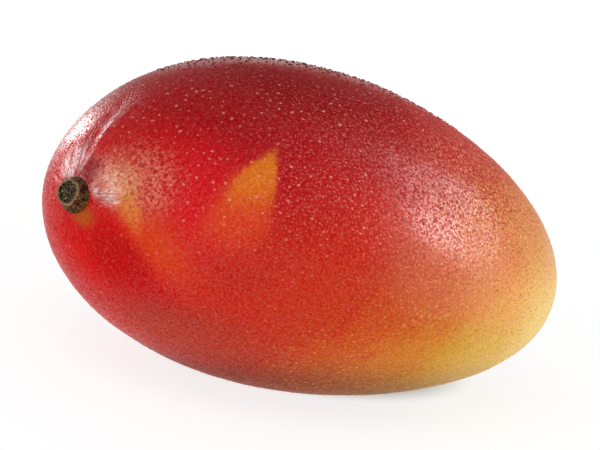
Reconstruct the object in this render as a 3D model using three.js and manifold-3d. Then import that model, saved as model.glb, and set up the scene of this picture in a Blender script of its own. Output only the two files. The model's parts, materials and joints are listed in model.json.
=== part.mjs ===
// A ripe mango of a long, heavy kind, lying on its side as it comes to rest, with
// the broken stub of its stalk still in the stem end. Millimetres, +Z up.
//
// The flesh is worked out in the fruit's own axes first: x runs from the stem end
// (negative) to the apex (positive), y across and z through the thickness. layDown()
// then tilts it to the way it lies and presses its small resting flat.
import * as THREE from 'three';
import { mergeVertices } from 'three/addons/utils/BufferGeometryUtils.js';
import Module from 'manifold-3d';

// ---- The fruit ----
const HALF_LENGTH = 72.6;
const HALF_WIDTH = 45.0;
const HALF_THICKNESS = 41.7;
const APEX_FULLNESS = 0.036;    // share by which the apex half is longer than the stem half
const OBLIQUENESS = 0.118;      // fuller under the stem end and over the apex end
const TAPER = 0.12;             // thinner through towards the apex, thicker at the shoulders
const BEAK_HEIGHT = 0.6;        // low point where the flower's style was
const BEAK_REACH = 5.0;
const BEAK_DROP = 12;           // degrees below the long axis

// ---- How it lies ----
const REST_TILT = 11.7;         // degrees that the stem end is raised
const FLAT_DEPTH = 1.3;         // how far its weight has pressed the underside in
const FLAT_EDGE = 0.35;         // half the height over which the flat blends into the skin

// ---- Where the stalk meets the flesh ----
const SEAT_TURN = 8.7;          // degrees off the long axis, towards -y
const SEAT_DROP = 6.4;          // degrees below it
const BASIN_DEPTH = 1.1;        // shallow dip that the stalk stands in
const BASIN_REACH = 8.0;
const CREASE_DEPTH = 0.6;       // fold that runs from the stalk up over the shoulder
const CREASE_HALF_WIDTH = 1.5;
const CREASE_HEADING = 17;      // degrees from straight uphill, towards +y
const CREASE_START = 4;         // degrees of arc from the stalk
const CREASE_END = 28;
const FOLD_HEIGHT = 0.45;       // low ridge of skin along the crease's near side
const FOLD_OFFSET = 2.9;

// ---- The stub of stalk ----
const STALK_TURN = 28;          // its own lean: degrees off the long axis, towards -y
const STALK_RISE = 5;           // degrees above it
const COLLAR_RADIUS = 4.6;      // woody ring that spreads on the skin
const COLLAR_HEIGHT = 1.3;
const NECK_RADIUS = 3.2;
const RIM_RADIUS = 3.3;
const STUB_HEIGHT = 3.6;
const HOLLOW_RADIUS = 2.45;     // where the stalk snapped off, dished and dry
const HOLLOW_DEPTH = 0.8;
const ROOT_RADIUS = 2.4;
const ROOT_DEPTH = 4.5;         // how deep the stalk's wood goes into the flesh
const OUT_OF_ROUND = 0.05;      // share by which the stub's outline wanders
const GAP = 0.3;                // clearance between the stalk and the flesh

// ---- Fineness of the facets ----
const FLESH_AROUND = 88;
const FLESH_ALONG = 54;
const POLE_CROWDING = 0.11;     // rows drawn towards the stalk and the apex, 0 for even
const STUB_AROUND = 40;

const wasm = await Module();
wasm.setup();

const degrees = THREE.MathUtils.degToRad;
const smoothstep = THREE.MathUtils.smoothstep;
const bump = (distance, reach) => Math.exp(-((distance / reach) ** 2));

/** Unit vector near the stem end of the long axis, turned towards -y and raised. */
function stemEndDirection(turn, rise) {
  const flat = Math.cos(degrees(rise));
  return new THREE.Vector3(
    -flat * Math.cos(degrees(turn)),
    -flat * Math.sin(degrees(turn)),
    Math.sin(degrees(rise)),
  );
}

const seatDirection = stemEndDirection(SEAT_TURN, -SEAT_DROP);
const stalkDirection = stemEndDirection(STALK_TURN, STALK_RISE);
const beakDirection = stemEndDirection(0, BEAK_DROP).negate();
const uphill = new THREE.Vector3(0, 0, 1).projectOnPlane(seatDirection).normalize();
const sideways = new THREE.Vector3().crossVectors(seatDirection, uphill);

/** Distance from the fruit's centre to its smooth skin, along a unit direction. */
function smoothRadius(direction) {
  const reach = 1 / Math.hypot(
    direction.x / HALF_LENGTH, direction.y / HALF_WIDTH, direction.z / HALF_THICKNESS);
  const along = direction.x * reach / HALF_LENGTH;
  const through = direction.z * reach / HALF_THICKNESS;
  return reach * (1 + along * (APEX_FULLNESS + OBLIQUENESS * through - TAPER * through ** 2));
}

/** How far the skin stands in or out of the smooth form, by the stalk and the beak. */
function relief(direction, radius) {
  const arc = direction.angleTo(seatDirection);
  const heading = Math.atan2(direction.dot(sideways), direction.dot(uphill));
  const basin = BASIN_DEPTH * bump(radius * arc, BASIN_REACH);

  const aside = radius * Math.sin(arc) * Math.sin(heading - degrees(CREASE_HEADING));
  const ahead = Math.cos(heading - degrees(CREASE_HEADING)) > 0 ? 1 : 0;
  const middle = (CREASE_START + CREASE_END) / 2;
  const arcDegrees = THREE.MathUtils.radToDeg(arc);
  const strength = ahead * smoothstep(arcDegrees, CREASE_START, middle)
    * (1 - smoothstep(arcDegrees, middle, CREASE_END));
  const crease = CREASE_DEPTH * bump(aside, CREASE_HALF_WIDTH);
  const fold = FOLD_HEIGHT * bump(aside + FOLD_OFFSET, CREASE_HALF_WIDTH);

  const beak = BEAK_HEIGHT * bump(radius * direction.angleTo(beakDirection), BEAK_REACH);
  return beak - basin + strength * (fold - crease);
}

/** A point of the skin, in the fruit's own axes. */
function skinPoint(direction) {
  const radius = smoothRadius(direction);
  return direction.clone().multiplyScalar(radius + relief(direction, radius));
}

const restTurn = new THREE.Matrix4().makeRotationY(degrees(REST_TILT));

/** The lowest height that the tilted fruit would reach without its flat. */
function lowestHeight() {
  const direction = new THREE.Vector3();
  let lowest = 0;
  for (let step = 0; step <= 360; step++) {
    const angle = degrees(step / 2);
    direction.set(Math.cos(angle), 0, -Math.sin(angle));
    lowest = Math.min(lowest, skinPoint(direction).applyMatrix4(restTurn).z);
  }
  return lowest;
}

const floorHeight = lowestHeight() + FLAT_DEPTH;

/** Height above the floor once the underside is pressed flat, with a soft edge. */
function pressed(height) {
  if (height <= -FLAT_EDGE) return 0;
  if (height >= FLAT_EDGE) return height;
  return (height + FLAT_EDGE) ** 2 / (4 * FLAT_EDGE);
}

/** Takes a point from the fruit's own axes to the fruit as it lies on the floor. */
function layDown(point) {
  point.applyMatrix4(restTurn);
  point.z = pressed(point.z - floorHeight);
  return point;
}

/** A three.js geometry as a manifold solid, with its shared corners merged. */
function toSolid(geometry) {
  const bare = geometry.clone();
  bare.deleteAttribute('normal');
  bare.deleteAttribute('uv');
  const merged = mergeVertices(bare, 1e-4);
  return new wasm.Manifold(new wasm.Mesh({
    numProp: 3,
    vertProperties: Float32Array.from(merged.attributes.position.array),
    triVerts: Uint32Array.from(merged.index.array),
  }));
}

/** A manifold solid as a named three.js mesh. */
function toMesh(name, solid, material) {
  const { vertProperties, triVerts } = solid.getMesh();
  const geometry = new THREE.BufferGeometry();
  geometry.setAttribute('position', new THREE.BufferAttribute(vertProperties, 3));
  geometry.setIndex(new THREE.BufferAttribute(triVerts, 1));
  geometry.computeVertexNormals();
  const mesh = new THREE.Mesh(geometry, material);
  mesh.name = name;
  return mesh;
}

/** The flesh: a ball whose pole is turned to the stalk, drawn out to the skin. */
function fleshGeometry() {
  const ball = new THREE.SphereGeometry(1, FLESH_AROUND, FLESH_ALONG);
  const places = ball.attributes.position;
  const poleToSeat = new THREE.Quaternion()
    .setFromUnitVectors(new THREE.Vector3(0, 1, 0), seatDirection);
  const direction = new THREE.Vector3();
  for (let i = 0; i < places.count; i++) {
    direction.fromBufferAttribute(places, i);
    const around = Math.atan2(direction.z, direction.x);
    const even = Math.acos(THREE.MathUtils.clamp(direction.y, -1, 1));
    const arc = even - POLE_CROWDING * Math.sin(2 * even);
    direction.set(
      Math.sin(arc) * Math.cos(around), Math.cos(arc), Math.sin(arc) * Math.sin(around));
    const place = layDown(skinPoint(direction.applyQuaternion(poleToSeat)));
    places.setXYZ(i, place.x, place.y, place.z);
  }
  return ball;
}

/** Turns a shape made round +Y to stand on the stalk's axis, at its seat on the skin. */
function ontoStalk(geometry) {
  const axis = stalkDirection.clone().applyMatrix4(restTurn);
  const seat = layDown(skinPoint(seatDirection.clone()));
  geometry.applyQuaternion(
    new THREE.Quaternion().setFromUnitVectors(new THREE.Vector3(0, 1, 0), axis));
  return geometry.translate(seat.x, seat.y, seat.z);
}

/** A solid of revolution round the stalk's axis, from [radius, height] pairs. */
function turned(profile) {
  return new THREE.LatheGeometry(
    profile.map(([radius, height]) => new THREE.Vector2(radius, height)), STUB_AROUND);
}

/** Draws a turned shape slightly out of round, as wood grows. */
function outOfRound(geometry) {
  const places = geometry.attributes.position;
  for (let i = 0; i < places.count; i++) {
    const around = Math.atan2(places.getZ(i), places.getX(i));
    const wander = 1 + OUT_OF_ROUND * (0.6 * Math.sin(2 * around + 1) + 0.4 * Math.sin(5 * around));
    places.setX(i, places.getX(i) * wander);
    places.setZ(i, places.getZ(i) * wander);
  }
  return geometry;
}

/** The stub above the skin, its wood carried on down so that the flesh can trim it. */
function stubGeometry() {
  const floor = STUB_HEIGHT - HOLLOW_DEPTH;
  return ontoStalk(outOfRound(turned([
    [0, -COLLAR_RADIUS],
    [COLLAR_RADIUS, -COLLAR_RADIUS],
    [COLLAR_RADIUS, 0.35 * COLLAR_HEIGHT],
    [0.9 * COLLAR_RADIUS, 0.8 * COLLAR_HEIGHT],
    [NECK_RADIUS, 1.1 * COLLAR_HEIGHT],
    [NECK_RADIUS, 0.55 * STUB_HEIGHT],
    [RIM_RADIUS, 0.7 * STUB_HEIGHT],
    [RIM_RADIUS, 0.92 * STUB_HEIGHT],
    [(RIM_RADIUS + HOLLOW_RADIUS) / 2, STUB_HEIGHT],
    [HOLLOW_RADIUS, 0.95 * STUB_HEIGHT],
    [0.9 * HOLLOW_RADIUS, floor],
    [0, floor + 0.2 * HOLLOW_DEPTH],
  ])));
}

/** The root of the stalk, or with a margin the socket that it sits in. */
function rootGeometry(margin) {
  const top = COLLAR_HEIGHT;
  const bottom = -ROOT_DEPTH - margin;
  return ontoStalk(turned([
    [0, bottom],
    [ROOT_RADIUS * 0.8 + margin, bottom],
    [ROOT_RADIUS + margin, bottom + 1],
    [ROOT_RADIUS + margin, top],
    [0, top],
  ]));
}

const skin = new THREE.MeshStandardMaterial({ color: 0xb3261c, roughness: 0.38, metalness: 0 });
const bark = new THREE.MeshStandardMaterial({ color: 0x4a3420, roughness: 0.85, metalness: 0 });

const wholeFlesh = toSolid(fleshGeometry());
const flesh = wholeFlesh.subtract(toSolid(rootGeometry(GAP)));

const lift = stalkDirection.clone().applyMatrix4(restTurn).multiplyScalar(GAP);
const liftedFlesh = wholeFlesh.translate(lift.x, lift.y, lift.z);
const stub = toSolid(stubGeometry()).subtract(liftedFlesh).add(toSolid(rootGeometry(0)));

const mango = new THREE.Group();
mango.add(toMesh('fruit', flesh, skin));
mango.add(toMesh('stem', stub, bark));

// The origin is on the floor, under the middle of the whole.
const middle = new THREE.Box3().setFromObject(mango).getCenter(new THREE.Vector3());
mango.position.set(-middle.x, -middle.y, 0);

export default mango;
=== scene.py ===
"""A ripe mango lying on its side: its skin, its pores, the stub of its stalk, and soft light.

Lengths are metres, except where a name or a comment says millimetres. The fruit's own axes,
which the markings are placed in, are in millimetres: x runs from the stalk end (negative) to
the apex (positive), y across and z through the thickness. The fruit lies with its stalk end
a little raised.
"""
import json
import logging
import math
import random
from dataclasses import dataclass
from enum import Enum

import bpy
import numpy as np
from mathutils import Matrix, Quaternion, Vector, noise

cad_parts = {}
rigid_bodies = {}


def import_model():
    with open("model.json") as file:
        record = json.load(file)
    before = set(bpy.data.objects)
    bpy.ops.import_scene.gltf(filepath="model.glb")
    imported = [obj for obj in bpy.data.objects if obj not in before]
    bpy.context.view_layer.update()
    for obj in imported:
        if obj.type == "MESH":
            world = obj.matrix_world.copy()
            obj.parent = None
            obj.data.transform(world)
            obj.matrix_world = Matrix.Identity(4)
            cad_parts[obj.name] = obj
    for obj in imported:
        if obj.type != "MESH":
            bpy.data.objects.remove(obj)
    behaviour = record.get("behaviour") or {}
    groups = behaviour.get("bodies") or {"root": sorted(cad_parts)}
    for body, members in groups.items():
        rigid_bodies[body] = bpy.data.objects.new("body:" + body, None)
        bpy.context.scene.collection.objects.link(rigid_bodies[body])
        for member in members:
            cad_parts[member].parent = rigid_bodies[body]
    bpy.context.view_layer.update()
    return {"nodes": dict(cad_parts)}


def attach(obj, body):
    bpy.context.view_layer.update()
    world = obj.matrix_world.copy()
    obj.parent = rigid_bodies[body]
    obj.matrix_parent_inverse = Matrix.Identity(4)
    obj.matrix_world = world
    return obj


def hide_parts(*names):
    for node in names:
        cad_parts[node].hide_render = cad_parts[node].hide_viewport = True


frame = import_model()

log = logging.getLogger("mango")

MM = 0.001
Triple = tuple[float, float, float]
Span = tuple[float, float]
Ramp = tuple[tuple[float, Triple], ...]     # positions and display colours


# ---------------------------------------------------------------- shader expressions


def shade(display: Triple) -> tuple[float, float, float, float]:
    """Turns a display colour into the linear colour that nodes hold.

    Args:
        display: Red, green and blue from 0 to 255.

    Returns:
        Linear red, green, blue and an alpha of 1.
    """
    linear = []
    for value in display:
        share = value / 255
        linear.append(share / 12.92 if share <= 0.04045 else ((share + 0.055) / 1.055) ** 2.4)
    return (linear[0], linear[1], linear[2], 1.0)


class Signal:
    """An output socket whose arithmetic adds Math nodes to its shader."""

    def __init__(self, shader: "Shader", socket: bpy.types.NodeSocket) -> None:
        """Wraps one output socket of a shader."""
        self.shader = shader
        self.socket = socket

    def math(self, operation: str, *operands: "Signal | float") -> "Signal":
        """Adds one Math node on the given operands."""
        return self.shader.node(
            "ShaderNodeMath", {"operation": operation}, dict(enumerate(operands)))

    def __add__(self, other: "Signal | float") -> "Signal":
        """This value plus another."""
        return self.math("ADD", self, other)

    def __radd__(self, other: float) -> "Signal":
        """A number plus this value."""
        return self.math("ADD", other, self)

    def __sub__(self, other: "Signal | float") -> "Signal":
        """This value less another."""
        return self.math("SUBTRACT", self, other)

    def __rsub__(self, other: float) -> "Signal":
        """A number less this value."""
        return self.math("SUBTRACT", other, self)

    def __mul__(self, other: "Signal | float") -> "Signal":
        """This value times another."""
        return self.math("MULTIPLY", self, other)

    def __rmul__(self, other: float) -> "Signal":
        """A number times this value."""
        return self.math("MULTIPLY", other, self)

    def __truediv__(self, other: "Signal | float") -> "Signal":
        """This value divided by another."""
        return self.math("DIVIDE", self, other)

    def rise(self, start: "Signal | float", end: "Signal | float") -> "Signal":
        """Smooth step of this value.

        Args:
            start: Value that gives 0.
            end: Value that gives 1, which may lie below start.

        Returns:
            A value from 0 to 1.
        """
        return self.shader.node(
            "ShaderNodeMapRange", {"interpolation_type": "SMOOTHSTEP"},
            {"Value": self, "From Min": start, "From Max": end})


class Shader:
    """A node material that is written as expressions."""

    def __init__(self, name: str) -> None:
        """Starts an empty node tree under the given material name."""
        self.material = bpy.data.materials.new(name)
        self.material.use_nodes = True
        self.tree = self.material.node_tree
        self.tree.nodes.clear()

    def node(self, kind: str, settings: dict | None = None, sockets: dict | None = None,
             output: int | str = 0) -> Signal:
        """Adds a node.

        Args:
            kind: The node's type.
            settings: Attributes that are set first; "stops" fills a colour ramp.
            sockets: Values or signals by input name or number.
            output: Which output to hand back.

        Returns:
            The chosen output.
        """
        made = self.tree.nodes.new(kind)
        for name, value in (settings or {}).items():
            if name == "stops":
                self._fill_ramp(made.color_ramp, value)
            else:
                setattr(made, name, value)
        for key, value in (sockets or {}).items():
            if isinstance(value, Signal):
                self.tree.links.new(value.socket, made.inputs[key])
            else:
                made.inputs[key].default_value = value
        return Signal(self, made.outputs[output])

    @staticmethod
    def _fill_ramp(ramp: bpy.types.ColorRamp, stops: Ramp) -> None:
        """Gives a colour ramp its stops, each a position and a display colour."""
        ramp.interpolation = "EASE"
        while len(ramp.elements) < len(stops):
            ramp.elements.new(0.5)
        for element, (position, colour) in zip(ramp.elements, stops):
            element.position = position
            element.color = shade(colour)

    def place(self) -> Signal:
        """Object coordinates, in metres."""
        return self.node("ShaderNodeTexCoord", output="Object")

    def attribute(self, name: str) -> Signal:
        """A number that the piece keeps at each vertex."""
        return self.node("ShaderNodeAttribute", {"attribute_name": name}, output="Fac")

    def mapped(self, vector: Signal, centre: Triple, turn: Triple, scale: Triple) -> Signal:
        """Coordinates in the axes of something that is placed, turned and sized.

        Args:
            vector: Coordinates to be seen from it.
            centre: Where it is.
            turn: How it is turned, in degrees about x, y and z.
            scale: The lengths that become 1 along its axes.

        Returns:
            The coordinates in its own axes.
        """
        return self.node("ShaderNodeMapping", {"vector_type": "TEXTURE"}, {
            "Vector": vector, "Location": centre,
            "Rotation": tuple(math.radians(angle) for angle in turn), "Scale": scale})

    def vector(self, operation: str, *operands: "Signal | Triple") -> Signal:
        """Adds a Vector Math node that gives a vector."""
        return self.node("ShaderNodeVectorMath", {"operation": operation},
                         dict(enumerate(operands)))

    def measure(self, operation: str, *operands: "Signal | Triple") -> Signal:
        """Adds a Vector Math node that gives a number, such as LENGTH or DOT_PRODUCT."""
        return self.node("ShaderNodeVectorMath", {"operation": operation},
                         dict(enumerate(operands)), "Value")

    def scaled(self, vector: Signal, factor: "Signal | float") -> Signal:
        """A vector times a number."""
        return self.node("ShaderNodeVectorMath", {"operation": "SCALE"},
                         {0: vector, "Scale": factor})

    def joined(self, x: "Signal | float", y: "Signal | float", z: "Signal | float") -> Signal:
        """A vector from its three parts."""
        return self.node("ShaderNodeCombineXYZ", sockets={0: x, 1: y, 2: z})

    def part(self, vector: Signal, axis: int) -> Signal:
        """One part of a vector: 0, 1 or 2."""
        return self.node("ShaderNodeSeparateXYZ", sockets={0: vector}, output=axis)

    def mix(self, factor: "Signal | float", under: "Signal | tuple", over: "Signal | tuple",
            blend: str = "MIX") -> Signal:
        """Lays one colour over another.

        Args:
            factor: How much of the upper colour shows.
            under: The lower colour.
            over: The upper colour.
            blend: The blending mode.

        Returns:
            The mixed colour.
        """
        return self.node(
            "ShaderNodeMix", {"data_type": "RGBA", "blend_type": blend},
            {0: factor, 6: under, 7: over}, 2)

    def noise(self, vector: Signal, size: float, detail: float = 2.0,
              roughness: float = 0.5) -> Signal:
        """Smooth noise, mostly from -0.5 to 0.5, with lumps of the given size."""
        return self.node(
            "ShaderNodeTexNoise", {"noise_dimensions": "3D"},
            {"Vector": vector, "Scale": 1 / size, "Detail": detail, "Roughness": roughness}) - 0.5

    def wander(self, vector: Signal, size: float, reach: float) -> Signal:
        """Coordinates pushed about by noise, so that what is placed in them has uneven edges."""
        push = self.node("ShaderNodeTexNoise", {"noise_dimensions": "3D"},
                         {"Vector": vector, "Scale": 1 / size, "Detail": 2.5}, 1)
        centred = self.vector("SUBTRACT", push, (0.5, 0.5, 0.5))
        return self.vector("ADD", vector, self.scaled(centred, reach))

    def bump(self, height: Signal, depth: float, under: Signal | None = None) -> Signal:
        """A normal bent by a height from 0 to 1 that stands for a depth in metres."""
        sockets = {"Height": height, "Distance": depth, "Strength": 1.0}
        if under is not None:
            sockets["Normal"] = under
        return self.node("ShaderNodeBump", sockets=sockets)

    def surface(self, sockets: dict) -> None:
        """Ends the material in a principled surface with the given sockets."""
        made = self.node("ShaderNodeBsdfPrincipled", sockets=sockets)
        ending = self.tree.nodes.new("ShaderNodeOutputMaterial")
        self.tree.links.new(made.socket, ending.inputs["Surface"])


# ---------------------------------------------------------------- the fruit's own axes


@dataclass(frozen=True)
class FruitAxes:
    """The fruit's own axes, in millimetres, as it lies in the frame."""

    centre: Triple = (-1.39 * MM, 0.0, 40.0 * MM)
    tilt: float = 11.7           # degrees that the stalk end is raised
    half: Triple = (72.6, 45.0, 41.7)
    seat_turn: float = 8.7       # where the stalk sits: degrees off the long axis, towards -y
    seat_drop: float = 6.4       # and degrees below it
    ball_turn: float = 13.92     # the same two once the fruit is seen as a ball
    ball_drop: float = 10.88

    def own(self, places: np.ndarray) -> np.ndarray:
        """Frame metres to the fruit's own millimetres, one place a row."""
        turn = np.array(Matrix.Rotation(math.radians(self.tilt), 3, "Y"))
        return (places - np.array(self.centre)) / MM @ turn

    def coordinates(self, shader: Shader) -> Signal:
        """The own axes as shader coordinates."""
        return shader.mapped(shader.place(), self.centre, (0, self.tilt, 0), (MM, MM, MM))

    def seat_direction(self) -> np.ndarray:
        """Unit vector from the fruit's middle to the stalk's seat."""
        turn, drop = math.radians(self.seat_turn), math.radians(self.seat_drop)
        return np.array([
            -math.cos(drop) * math.cos(turn), -math.cos(drop) * math.sin(turn), -math.sin(drop)])

    def round_the_stalk(self, own: np.ndarray) -> tuple[np.ndarray, np.ndarray]:
        """Places by how far they lie from the stalk, and which way.

        Args:
            own: Places in the fruit's own axes, one a row.

        Returns:
            Millimetres of skin from the stalk's seat, and radians from straight uphill
            towards +y.
        """
        seat = self.seat_direction()
        uphill = np.array([0.0, 0.0, 1.0]) - seat * seat[2]
        uphill /= np.linalg.norm(uphill)
        sideways = np.cross(seat, uphill)
        radius = np.linalg.norm(own, axis=1)
        pointing = own / radius[:, None]
        arc = np.arccos(np.clip(pointing @ seat, -1, 1))
        return radius * arc, np.arctan2(pointing @ sideways, pointing @ uphill)

    def ball(self, shader: Shader, own: Signal) -> Signal:
        """Coordinates in which the fruit is a ball of radius 1, its pole at the stalk.

        Args:
            shader: The material.
            own: The fruit's own axes.

        Returns:
            A unit vector whose x part is 1 at the apex and -1 at the stalk.
        """
        round_ball = shader.mapped(own, (0, 0, 0), (0, 0, 0), self.half)
        turned = shader.mapped(
            round_ball, (0, 0, 0), (0, -self.ball_drop, self.ball_turn), (1, 1, 1))
        return shader.vector("NORMALIZE", turned)


AXES = FruitAxes()


# ---------------------------------------------------------------- the colour of the skin


@dataclass(frozen=True)
class Cut:
    """A plane that ends a stretch, which goes on where place . normal is above the offset."""

    normal: Triple
    offset: float
    softness: float


@dataclass(frozen=True)
class Stretch:
    """A soft-edged stretch of skin, in the fruit's own millimetres."""

    centre: Triple
    radii: Triple
    strength: float = 1.0
    softness: float = 0.5        # share of the radius over which it fades
    turn: Triple = (0.0, 0.0, 0.0)
    cuts: tuple[Cut, ...] = ()
    broken: float = 0.0          # share of it that is broken up into fine marks

    def mask(self, shader: Shader, own: Signal) -> Signal:
        """How far a place is in the stretch.

        Args:
            shader: The material.
            own: The fruit's own axes.

        Returns:
            0 outside to the stretch's strength inside.
        """
        inside = shader.mapped(own, self.centre, self.turn, self.radii)
        mask = shader.measure("LENGTH", inside).rise(1 + self.softness / 2, 1 - self.softness / 2)
        for cut in self.cuts:
            along = shader.measure("DOT_PRODUCT", own, cut.normal)
            mask = mask * along.rise(cut.offset - cut.softness, cut.offset + cut.softness)
        if self.broken:
            marks = shader.noise(own, 0.75, 2.0, 0.7).rise(-0.06, 0.12)
            mask = mask * (1 - self.broken + self.broken * marks)
        return mask * self.strength


@dataclass(frozen=True, kw_only=True)
class Patch(Stretch):
    """A stretch with a colour of its own."""

    colour: Triple               # display colour, 0 to 255


def clear_of(stretches: tuple[Stretch, ...], shader: Shader, own: Signal) -> "Signal | float":
    """How far a place is out of some stretches.

    Args:
        stretches: The stretches to stay out of.
        shader: The material.
        own: The fruit's own axes.

    Returns:
        1 outside all of them, and less inside.
    """
    clear = 1.0
    for stretch in stretches:
        clear = clear * (1 - stretch.mask(shader, own))
    return clear


@dataclass(frozen=True)
class Blush:
    """The red that the sun draws over a yellow skin, with the patches it left, a painted sheen
    along the crown and painted shade on the underside.
    """

    sun: Triple = (-0.769, 0.358, 0.530)     # where the sun stood, in the fruit's own axes
    reach: float = 40.0                      # millimetres from the middle to full red
    drift_size: float = 26.0                 # of the broad unevenness, mm
    drift_reach: float = 9.0                 # how far that shifts the red, mm
    blotch_size: float = 5.0                 # millimetres
    blotch_depth: float = 0.36               # as an amount of sun
    grain_size: float = 0.8
    grain_depth: float = 0.40
    edge_wavers: tuple[Span, ...] = ((3.5, 1.5), (0.8, 1.6))      # sizes and reaches, mm
    pale_on_yellow: Triple = (255, 206, 118)
    pale_on_red: Triple = (255, 172, 150)
    ramp_start: float = -1.5
    ramp_end: float = 1.3
    ramp: Ramp = (
        (-1.4, (212, 176, 50)),
        (-1.1, (210, 151, 12)),
        (-0.8, (212, 116, 10)),
        (-0.55, (208, 78, 4)),
        (-0.3, (203, 42, 2)),
        (0.0, (208, 26, 2)),
        (0.22, (204, 14, 8)),
        (0.42, (198, 4, 20)),
        (0.62, (190, 2, 20)),
        (0.9, (186, 2, 18)),
        (1.2, (190, 2, 18)),
    )
    patches: tuple[Patch, ...] = (
        # darkest along the crown
        Patch((-24, -7, 39), (36, 24, 12), 0.54, 1.2, colour=(132, 0, 8)),
        # warmer skin low on the side
        Patch((-30, -38, -4), (32, 14, 14), 0.2, 1.2, colour=(232, 72, 6)),
        # painted sheen: a paler band along the crown, standing in for the bright backdrop
        # reflected at a grazing angle
        Patch((-33, 8, 33), (24, 9, 12), 0.5, 0.8, (0, -20, 0), broken=0.5,
              colour=(255, 136, 128)),
        Patch((0, 4, 41), (36, 9.5, 10), 0.46, 0.9, (0, -4, 0), broken=0.6,
              colour=(255, 136, 118)),
        # the creamy apex
        Patch((50, -34, -2), (20, 18, 24), 0.68, 1.2, colour=(228, 179, 82)),
        Patch((57, -25, 7), (12, 15, 14), 0.6, 1.3, colour=(248, 216, 130)),
        # peach between the yellow and the red
        Patch((36, -38, 8), (15, 12, 9), 0.4, 1.2, colour=(252, 158, 100)),
        Patch((35, -35, 17.5), (8, 9, 7), 0.4, 1.3, colour=(224, 92, 66)),
        # deeper red above the cheek
        Patch((-2, -32, 29), (18, 10, 9), 0.34, 1.2, colour=(150, 10, 24)),
        # a pinkish cheek
        Patch((16, -42, 12), (18, 12, 13), 0.35, 1.2, colour=(222, 118, 98)),
        # the red of the stalk end, brighter below
        Patch((-62, -14, -6), (24, 26, 22), 0.85, 1.0, colour=(234, 6, 2)),
        Patch((-50, -28, 5), (18, 14, 12.5), 0.72, 1.3, colour=(252, 18, 36)),
        # a crimson band low on the stalk end
        Patch((-56, -24, -18), (12, 8, 6), 0.8, 0.8, (0, 30, 0), colour=(204, 2, 6)),
        # painted shade: brown that darkens the underside towards the floor, where the fruit shades
        # itself
        Patch((-38, -28, -27), (20, 13, 7), 0.5, 1.2, (0, -14, 0), colour=(170, 62, 32)),
        Patch((-2, -20, -38), (52, 29, 15), 0.92, 1.1, (0, -18, 0), broken=0.3,
              colour=(108, 12, 0)),
        # orange that fades into the red from a sharper edge below the stalk
        Patch((-50, -30, -9), (15, 12, 5.5), 0.42, 1.4, (0, 32, 0),
              cuts=(Cut((0.617, 0, 0.787), -43.0, 2.2),), colour=(240, 60, 10)),
        Patch((-53.0, -28.5, -8.6), (8.5, 10, 3.6), 0.42, 1.6, (0, 30, 0), colour=(246, 86, 12)),
        # leaf shadow: a flame, golden at its tip, with three straight edges
        Patch((-40, -34, 9), (9.0, 14, 11), 0.84, 1.2, (0, 14, 0),
              cuts=(Cut((-1, 0, -0.13), 31.5, 1.3), Cut((0.76, 0, -0.65), -40.9, 1.3),
                    Cut((0.965, 0, -0.262), -45.0, 2.2)),
              broken=0.4, colour=(250, 88, 30)),
        Patch((-38.0, -32, 16.6), (8.8, 12, 6.0), 0.92, 1.5, (0, -46, 0),
              cuts=(Cut((-1, 0, -0.13), 31.6, 0.5), Cut((0.76, 0, -0.65), -40.4, 0.7),
                    Cut((0.965, 0, -0.262), -44.0, 1.0)),
              broken=0.4, colour=(255, 148, 20)),
        # crimson in the seat
        Patch((-67.2, -11.6, -0.4), (2.8, 3.2, 3.0), 0.75, 1.2, colour=(150, 0, 16)),
        # tan and golden skin just beside the stalk
        Patch((-60.5, -22, 1.8), (8, 9, 6.8), 0.82, 1.2, broken=0.9, colour=(255, 152, 118)),
        Patch((-62.4, -19.6, 0.3), (3.8, 6, 4.4), 0.75, 1.4, broken=0.6, colour=(255, 184, 120)),
        Patch((-60.2, -22.3, -3.0), (5.6, 6, 1.8), 0.9, 1.5, (0, 56, 0), broken=0.55,
              colour=(255, 160, 36)),
        Patch((-65.6, -14.0, -11.0), (2.0, 4, 2.2), 0.65, 1.5, colour=(190, 112, 0)),
        # olive shoulder towards the apex
        Patch((50, -24, 23), (16, 14, 12), 0.55, 1.1, colour=(226, 138, 88)),
    )

    def sunned(self, shader: Shader, own: Signal) -> Signal:
        """How much sun each place of the skin had: below 0 none, 1 and above full.

        Args:
            shader: The material.
            own: The fruit's own axes.

        Returns:
            The amount of sun.
        """
        broad = shader.wander(own, self.drift_size, self.drift_reach)
        blotched = shader.noise(own, self.blotch_size, 3.0, 0.65) * self.blotch_depth
        grained = shader.noise(own, self.grain_size, 2.5, 0.6) * self.grain_depth
        height = shader.measure("DOT_PRODUCT", broad, self.sun)
        return height / self.reach + (blotched + grained)

    def colour(self, shader: Shader, own: Signal, sunned: Signal) -> Signal:
        """Colours the skin by its sun, and lays the patches over it.

        Args:
            shader: The material.
            own: The fruit's own axes.
            sunned: How much sun each place had.

        Returns:
            The skin's colour without its pores.
        """
        span = self.ramp_end - self.ramp_start
        stops = tuple(((sun - self.ramp_start) / span, colour) for sun, colour in self.ramp)
        skin = shader.node("ShaderNodeValToRGB", {"stops": stops},
                           {0: (sunned - self.ramp_start) / span})
        uneven = own
        for size, reach in self.edge_wavers:
            uneven = shader.wander(uneven, size, reach)
        for patch in self.patches:
            skin = shader.mix(patch.mask(shader, uneven), skin, shade(patch.colour))
        return skin

    def paler(self, shader: Shader, skin: Signal, sunned: Signal, share: float) -> Signal:
        """The colour of a pale pore: yellowish on yellow skin and salmon on red.

        Args:
            shader: The material.
            skin: The colour round the pore.
            sunned: How much sun the place had.
            share: How much of the skin's own colour the pore has lost.

        Returns:
            The pore's colour.
        """
        pale = shader.mix(
            sunned.rise(-0.5, 0.0), shade(self.pale_on_yellow), shade(self.pale_on_red))
        return shader.mix(share, skin, pale)


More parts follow.
